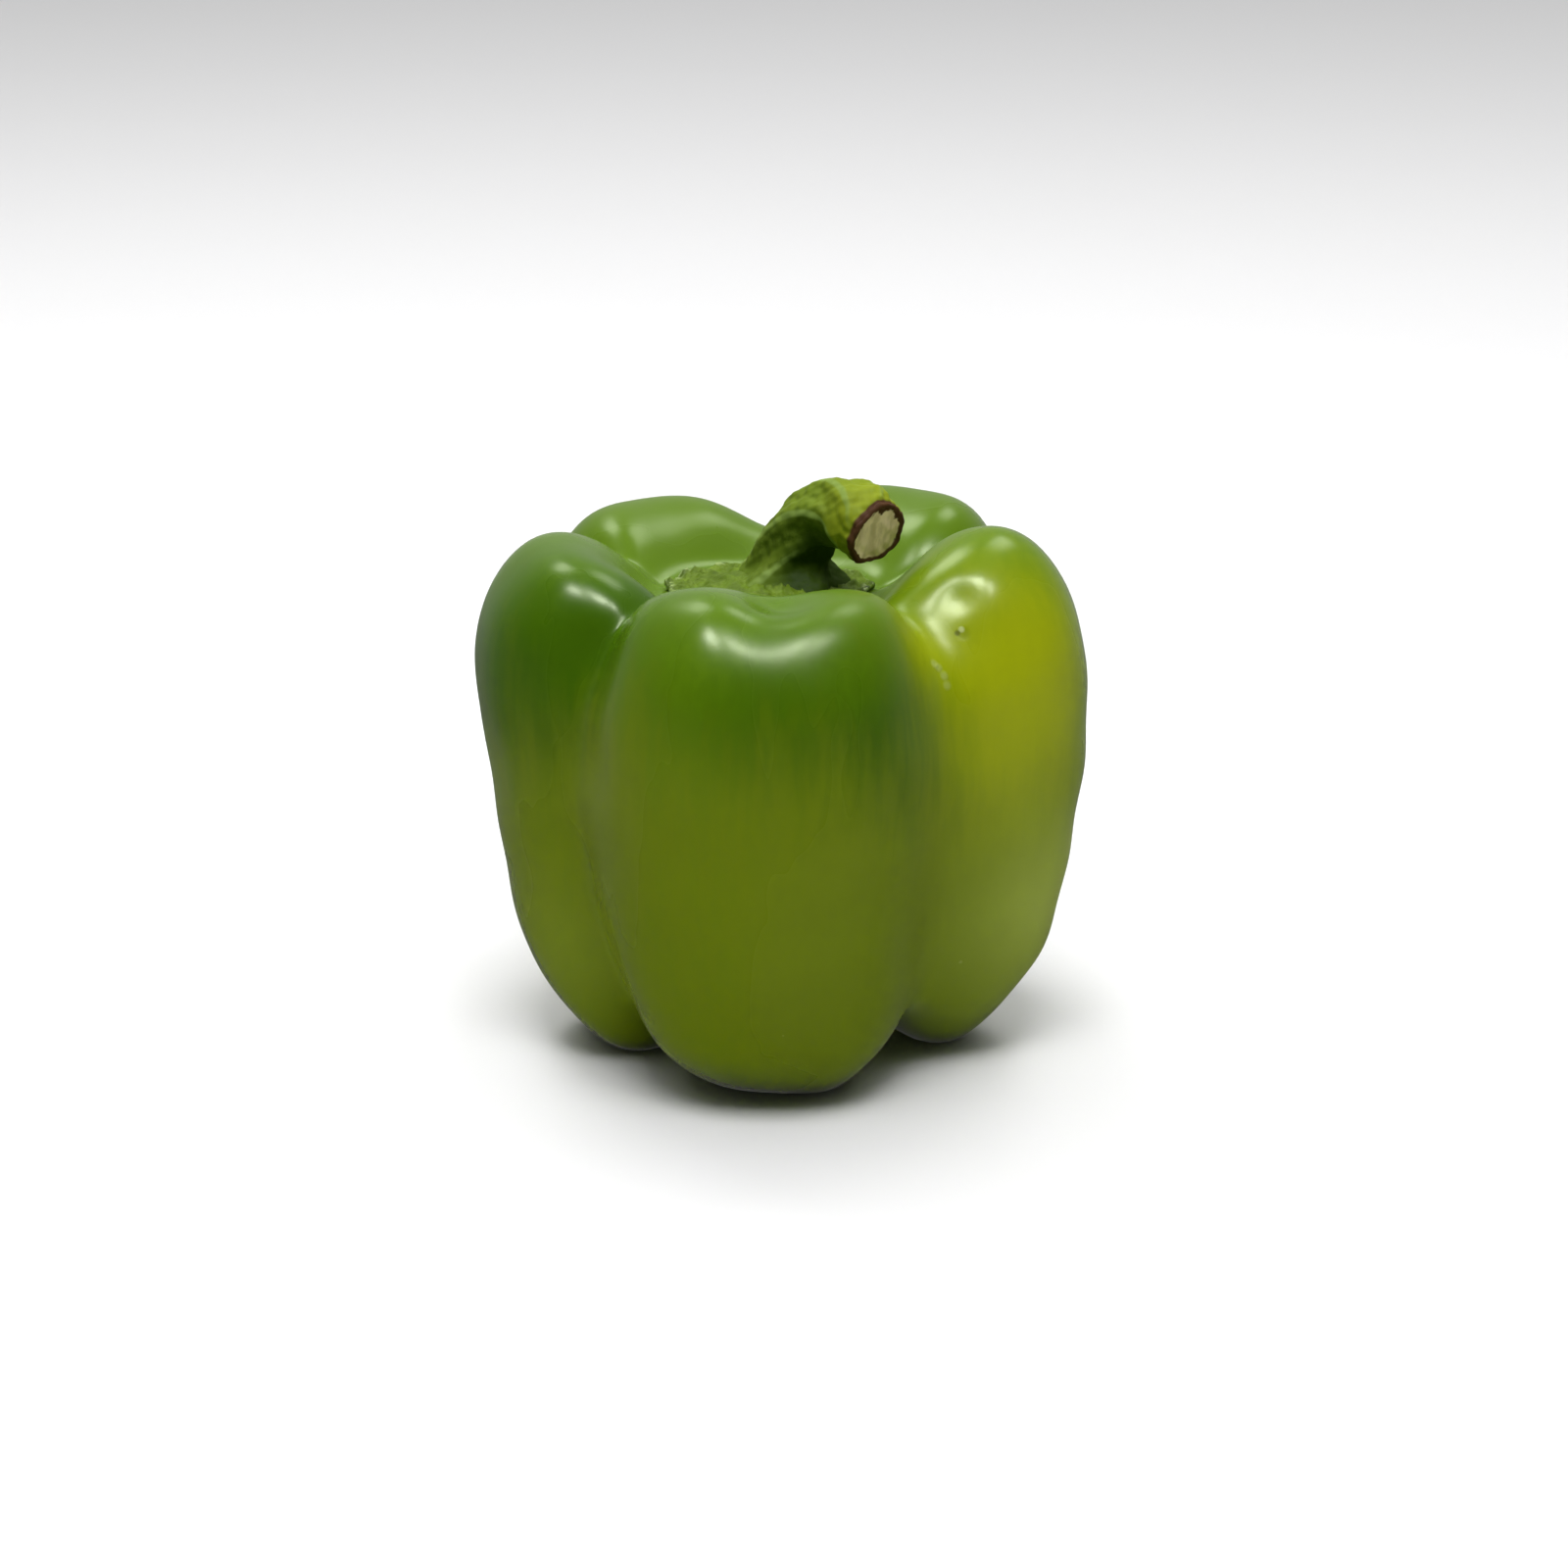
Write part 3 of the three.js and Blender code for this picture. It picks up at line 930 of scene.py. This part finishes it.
@dataclass
class Stem:
    """The hooked stalk: ribbed sections carried along a smooth path, then a rough cut face."""

    path: tuple[tuple[float, float, float], ...] = (
        (1.6, 1, 67.2), (2.2, 0.6, 71.2), (3.6, -0.5, 74.8), (6, -2.2, 77.8),
        (9.6, -4.6, 79), (12.4, -7.1, 78.3), (14, -9, 77.1),
    )
    radii: tuple[float, ...] = (8.4, 5.5, 4.7, 4.45, 4.9, 5.2, 4.6)
    upright: float = 0.34  # share of the length over which the sections turn from level to the path
    cut_way: tuple[float, float, float] = (0.62, -0.7, -0.3)
    ribs: int = 5
    rib_height: float = 0.075
    rib_start: float = -135.0  # azimuth of the rib on the left at the calyx
    rib_turn: float = 130.0  # its turn round the stem by the tip
    rib_fade: float = 0.8  # share of the ribs' height that is gone by the tip
    end_rise: tuple[float, float] = (0.75, 0.25)  # share of the length, from ribbed to ragged
    # Waves round the ragged end: how many, their height as a share of the radius and their start.
    ragged: tuple[tuple[int, float, float], ...] = ((3, 0.035, 1), (8, 0.02, 0), (21, 0.012, 0))
    # Waves of the relief: seed, height and length.
    relief: tuple[tuple[int, float, float], ...] = ((21, 0.12, 5.0), (22, 0.05, 1.8))
    # Rings round the cut's edge: share of the tip's radius and depth along the cut's own axis.
    cut_edge: tuple[tuple[float, float], ...] = ((1.03, 0.2), (1.0, 0.45), (0.95, 0.5), (0.9, 0.3))
    cut_turn: tuple[float, float] = (0.85, 0.15)  # share of the length, from the path's way to the cut's
    cut_face: tuple[float, float] = (0.86, 0.06)  # shares of the tip's radius, from the rim inwards
    cut_depth: float = 0.1
    cut_rings: int = 16
    # The brown rim: where it starts on the face, how it widens on its upper side, and its own relief.
    rim_start: float = 0.85
    rim_widening: float = 0.16
    rim_way: tuple[float, float, float] = (-0.5, 0.0, 0.87)
    rim_relief: tuple[tuple[int, float, float], ...] = ((23, 0.06, 2.8), (24, 0.03, 1.0))
    rim_blur: float = 0.06
    bark_rise: tuple[float, float] = (0.955, 0.03)  # share of the length, where the rim wraps the side
    bark_widening: float = 0.02
    # Where the colours change: the start of each change and the length over which it comes.
    base_rise: tuple[float, float] = (0.02, 0.16)  # share of the length
    shade_depth: float = 0.92
    shade_way: tuple[float, float, float] = (0.78, -0.42, -0.46)  # where the stem is darkest
    shade_rise: tuple[float, float] = (0.02, 0.5)  # nearness to that side
    shade_end: tuple[float, float] = (0.5, 0.25)  # share of the length
    light_rise: tuple[float, float] = (0.1, 0.8)  # height of the outward way; painted light on the upward-facing side
    light_start: float = 0.4  # share of the length
    crest_rise: tuple[float, float] = (0.8, 0.2)  # height on a rib
    crest_lightness: float = 0.8
    tip_rise: tuple[float, float] = (0.55, 0.3)  # share of the length
    round_steps: int = 220
    along_steps: int = 260

    def path_points(self, share: Array) -> tuple[Array, Array, Array]:
        """Points, unit tangents and radii of the Catmull-Rom curve through the path.

        Args:
            share: places from 0 at the calyx to 1 at the tip.

        Returns:
            Points, tangents and radii, a row for each place.
        """
        knots = np.hstack([np.array(self.path, dtype=float), np.array(self.radii)[:, None]])
        knots = np.vstack([2 * knots[0] - knots[1], knots, 2 * knots[-1] - knots[-2]])
        place = np.clip(share, 0, 1) * (len(self.path) - 1)
        span = np.minimum(place.astype(int), len(self.path) - 2)
        f = (place - span)[:, None]
        a, b, c, d = (knots[span + i] for i in range(4))
        curve = b + f * ((c - a) + f * ((2 * a - 5 * b + 4 * c - d) + f * (3 * (b - c) + d - a))) / 2
        slope = (c - a) / 2 + f * (2 * a - 5 * b + 4 * c - d) + 1.5 * f**2 * (3 * (b - c) + d - a)
        return curve[:, :3], unit(slope[:, :3]), curve[:, 3]

    def sections(self) -> Sections:
        """The sections along the stem, followed by those of the cut from its edge inwards."""
        share = np.linspace(0, 1, self.along_steps)
        centre, way, radius = self.path_points(share)
        cut = unit(np.array(self.cut_way))
        level = 1 - ease(share / self.upright)[:, None]
        way = way + (np.array([0.0, 0.0, 1.0]) - way) * level
        way = unit(way + (cut - way) * rise(share, *self.cut_turn)[:, None])
        face = np.linspace(*self.cut_face, self.cut_rings)
        inside = np.stack([face, np.full_like(face, self.cut_depth)], axis=-1)
        scale, depth = np.vstack([self.cut_edge, inside]).T
        return Sections(
            centre=np.vstack([centre, centre[-1] + depth[:, None] * cut]),
            way=np.vstack([way, np.repeat(way[-1:], len(depth), axis=0)]),
            radius=np.concatenate([radius, radius[-1] * scale]),
            share=np.concatenate([share, np.ones_like(depth)])[:, None],
            scale=np.concatenate([np.ones_like(share), scale])[:, None],
        )

    def rim(self, parts: Sections, rings: Array, aside: Array, faced: Array) -> Array:
        """How brown each point is: a rim on the cut's face that wraps a little round its side.

        Args:
            parts: the stem's sections.
            rings: the finished rings of points.
            aside: unit vector from the stem's middle to each point.
            faced: 1 on the cut's face and 0 elsewhere.

        Returns:
            A value from 0 to 1 for each point.
        """
        upward = aside @ np.array(self.rim_way)
        uneven = sum(height * waves(rings, seed, length) for seed, height, length in self.rim_relief)
        on_face = rise(parts.scale, self.rim_start - self.rim_widening * upward - uneven, self.rim_blur)
        on_side = rise(parts.share + self.bark_widening * upward, *self.bark_rise)
        return np.where(faced > 0, on_face, on_side)

    def build(self, offset: Array, finish: StemFinish) -> bpy.types.Object:
        """Builds and dresses the stem.

        Args:
            offset: move from the working frame to the CAD frame.
            finish: the stem's finish.

        Returns:
            The stem's object.
        """
        parts = self.sections()
        share = parts.share
        angle = np.linspace(0, 2 * math.pi, self.round_steps, endpoint=False)
        rib = np.cos(self.ribs * (angle - np.radians(self.rib_start + self.rib_turn * share)))
        end = rise(share, *self.end_rise)
        ragged = sum(height * np.sin(count * angle + start) for count, height, start in self.ragged)
        ribbed = self.rib_height * rib * (1 - self.rib_fade * end)
        reach = parts.radius[:, None] * (1 + ribbed + ragged * end)
        spokes = np.stack([reach * np.cos(angle), reach * np.sin(angle), np.zeros_like(reach)], axis=-1)
        spokes = tilt(spokes, parts.way)
        rings = parts.centre[:, None] + spokes
        relief = sum(height * waves(rings, seed, length) for seed, height, length in self.relief)
        rings += outward(rings) * relief[..., None]
        aside = unit(spokes)
        faced = np.broadcast_to(parts.scale < self.cut_edge[-1][0], rib.shape) * 1.0
        shade = rise(aside @ unit(np.array(self.shade_way)), *self.shade_rise)
        # painted light: points of the stalk that face upwards are made lighter
        light = rise(outward(rings)[..., 2], *self.light_rise)
        values = {
            "base": (1.0, np.broadcast_to(1 - rise(share, *self.base_rise), rib.shape), 0.0),
            "shade": (0.0, self.shade_depth * shade * (1 - rise(share, *self.shade_end)), 0.0),
            "light": (0.0, light * ease(share / self.light_start), 0.0),
            "rib": (0.0, rise(rib, *self.crest_rise) * (1 - end) * self.crest_lightness, 0.0),
            "tip": (0.0, np.broadcast_to(rise(share, *self.tip_rise), rib.shape), 1.0),
            "cut": (0.0, faced, 1.0),
            "rim": (0.0, self.rim(parts, rings, aside, faced), 0.0),
        }
        skin = Skin(rings[0].mean(axis=0), rings, rings[-1].mean(axis=0), values)
        piece = skin.mesh_object("pepper_stem", offset)
        piece.data.materials.append(finish.material())
        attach(piece, BODY)
        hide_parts("stem")
        return piece


def tilt(spokes: Array, ways: Array) -> Array:
    """Turns flat spokes by the least turn that takes +Z to each row's way.

    With v the cross product of +Z and the way, and c the way's height, a spoke p becomes
    p + v x p + v x (v x p) / (1 + c).

    Args:
        spokes: rows of vectors in the plane Z = 0.
        ways: one unit vector for each row.

    Returns:
        The turned vectors.
    """
    v = np.cross([0.0, 0.0, 1.0], ways)[:, None]
    once = np.cross(np.broadcast_to(v, spokes.shape), spokes)
    twice = np.cross(np.broadcast_to(v, spokes.shape), once)
    return spokes + once + twice / (1 + ways[:, None, 2:])


# ---------------------------------------------------------------- studio


WINDOW_LIGHT = (1.0, 0.87, 1.45)


@dataclass(frozen=True)
class Softbox:
    """A soft rectangular light that faces the pepper."""

    name: str
    azimuth: float
    elevation: float
    distance: float
    size: tuple[float, float]
    power: float
    colour: tuple[float, float, float] = (1.0, 1.0, 1.0)
    in_gloss: bool = True  # whether the skin mirrors it
    in_diffuse: bool = True  # whether it lights the colours too


@dataclass
class Studio:
    """The pale floor, the lights and the camera."""

    elevation: float = 18.1
    distance: float = 0.6
    aim: tuple[float, float, float] = (1.1, 0.0, 37.1)  # in the working frame
    lens: float = 94.77
    sensor: float = 36.0
    floor_size: float = 12.0
    sky_front: float = 0.05
    sky_back: float = 0.5
    sky_below: float = 0.25
    softboxes: tuple[Softbox, ...] = (
        Softbox("window_softbox", -82, 70, 0.9, (0.26, 0.15), 6.0, WINDOW_LIGHT, in_diffuse=False),
        Softbox("left_window_softbox", -137, 65, 0.9, (0.16, 0.15), 4.2, WINDOW_LIGHT, in_diffuse=False),
        Softbox("right_window_softbox", -48, 61, 0.9, (0.13, 0.13), 2.6, WINDOW_LIGHT, in_diffuse=False),
        Softbox("front_fill_softbox", -90, 66, 0.9, (0.4, 0.3), 5.5, in_gloss=False),
        Softbox("back_right_softbox", 58, 57, 0.9, (0.28, 0.28), 1.5),
        Softbox("back_left_softbox", 125, 57, 0.9, (0.28, 0.28), 2.3),
        Softbox("ceiling_softbox", 90, 88, 2.4, (3.6, 3.6), 57.0, in_gloss=False),
    )

    def build(self, offset: Array) -> None:
        """Builds the floor, the sky, the softboxes and the camera."""
        self.floor()
        self.lights(offset)
        self.camera(offset)

    def floor(self) -> None:
        """Makes a plain pale floor at Z = 0."""
        half = self.floor_size / 2
        mesh = bpy.data.meshes.new("studio_floor")
        corners = [(-half, -half, 0), (half, -half, 0), (half, half, 0), (-half, half, 0)]
        mesh.from_pydata(corners, [], [(0, 1, 2, 3)])
        floor = bpy.data.objects.new("studio_floor", mesh)
        bpy.context.scene.collection.objects.link(floor)
        material, _, shader = new_material("pale_floor")
        shader.inputs["Base Color"].default_value = (0.75, 0.75, 0.75, 1)
        shader.inputs["Roughness"].default_value = 0.7
        mesh.materials.append(material)
        floor.visible_glossy = False

    def lights(self, offset: Array) -> None:
        """Makes the white sky and the softboxes."""
        world = bpy.data.worlds.new("studio_sky")
        bpy.context.scene.world = world
        world.use_nodes = True
        sky = world.node_tree.nodes["Background"]
        sky.inputs["Color"].default_value = (1, 1, 1, 1)
        nodes = Nodes(world.node_tree)
        way = nodes.add("SeparateXYZ", Vector=nodes.add("TexCoord").outputs["Generated"])
        glow = nodes.span(way.outputs["Y"], -0.2, 0.9, (self.sky_front, self.sky_back))
        above = nodes.span(way.outputs["Z"], -0.5, 0.0, (self.sky_below, 1.0))
        world.node_tree.links.new(nodes.math("MULTIPLY", glow, above), sky.inputs["Strength"])
        middle = Vector((np.array(self.aim) + offset) * MM)
        for box in self.softboxes:
            light = bpy.data.lights.new(box.name, "AREA")
            light.shape = "RECTANGLE"
            light.size, light.size_y = box.size
            light.energy = box.power
            light.color = box.colour
            lamp = bpy.data.objects.new(box.name, light)
            away = direction(box.azimuth, box.elevation)
            lamp.location = middle + away * box.distance
            lamp.rotation_euler = away.to_track_quat("Z", "Y").to_euler()
            lamp.visible_glossy = box.in_gloss
            lamp.visible_diffuse = box.in_diffuse
            bpy.context.scene.collection.objects.link(lamp)

    def camera(self, offset: Array) -> None:
        """Makes the camera, which looks along +Y and a little down."""
        camera = bpy.data.cameras.new("camera")
        camera.lens = self.lens
        camera.sensor_width = self.sensor
        holder = bpy.data.objects.new("camera", camera)
        away = direction(-90, self.elevation)
        holder.location = Vector((np.array(self.aim) + offset) * MM) + away * self.distance
        holder.rotation_euler = away.to_track_quat("Z", "Y").to_euler()
        bpy.context.scene.collection.objects.link(holder)
        bpy.context.scene.camera = holder


def direction(azimuth: float, elevation: float) -> Vector:
    """The unit vector towards an azimuth and an elevation in degrees."""
    turn, rise = math.radians(azimuth), math.radians(elevation)
    return Vector((math.cos(rise) * math.cos(turn), math.cos(rise) * math.sin(turn), math.sin(rise)))


def cad_offset(fruit: Fruit) -> Array:
    """The move, in millimetres, from the working frame to the CAD frame.

    It takes the middle of the fruit's own box to the middle of the CAD fruit's, across the floor.
    """
    along = np.linspace(0.98, 0.02, 97)  # every hundredth of the outline, clear of the poles
    rings = fruit.rings(along, 20)
    middle = (rings.min(axis=(0, 1)) + rings.max(axis=(0, 1))) / 2
    low, high = (np.array(corner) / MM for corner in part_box("fruit"))
    return ((low + high) / 2 - middle) * np.array([1.0, 1.0, 0.0])


def main() -> None:
    """Builds the pepper and its studio, and logs the number of faces of each piece."""
    logging.basicConfig(level=logging.INFO, format="%(name)s: %(message)s")
    bpy.context.scene.view_settings.view_transform = "Standard"
    fruit = Fruit()
    offset = cad_offset(fruit)
    pieces = [
        fruit.build(offset, SkinFinish()),
        Calyx().build(fruit, offset, CalyxFinish()),
        Stem().build(offset, StemFinish()),
    ]
    for piece in pieces:
        log.info("%s: %d faces", piece.name, len(piece.data.polygons))
    Studio().build(offset)


if __name__ == "__main__":
    main()
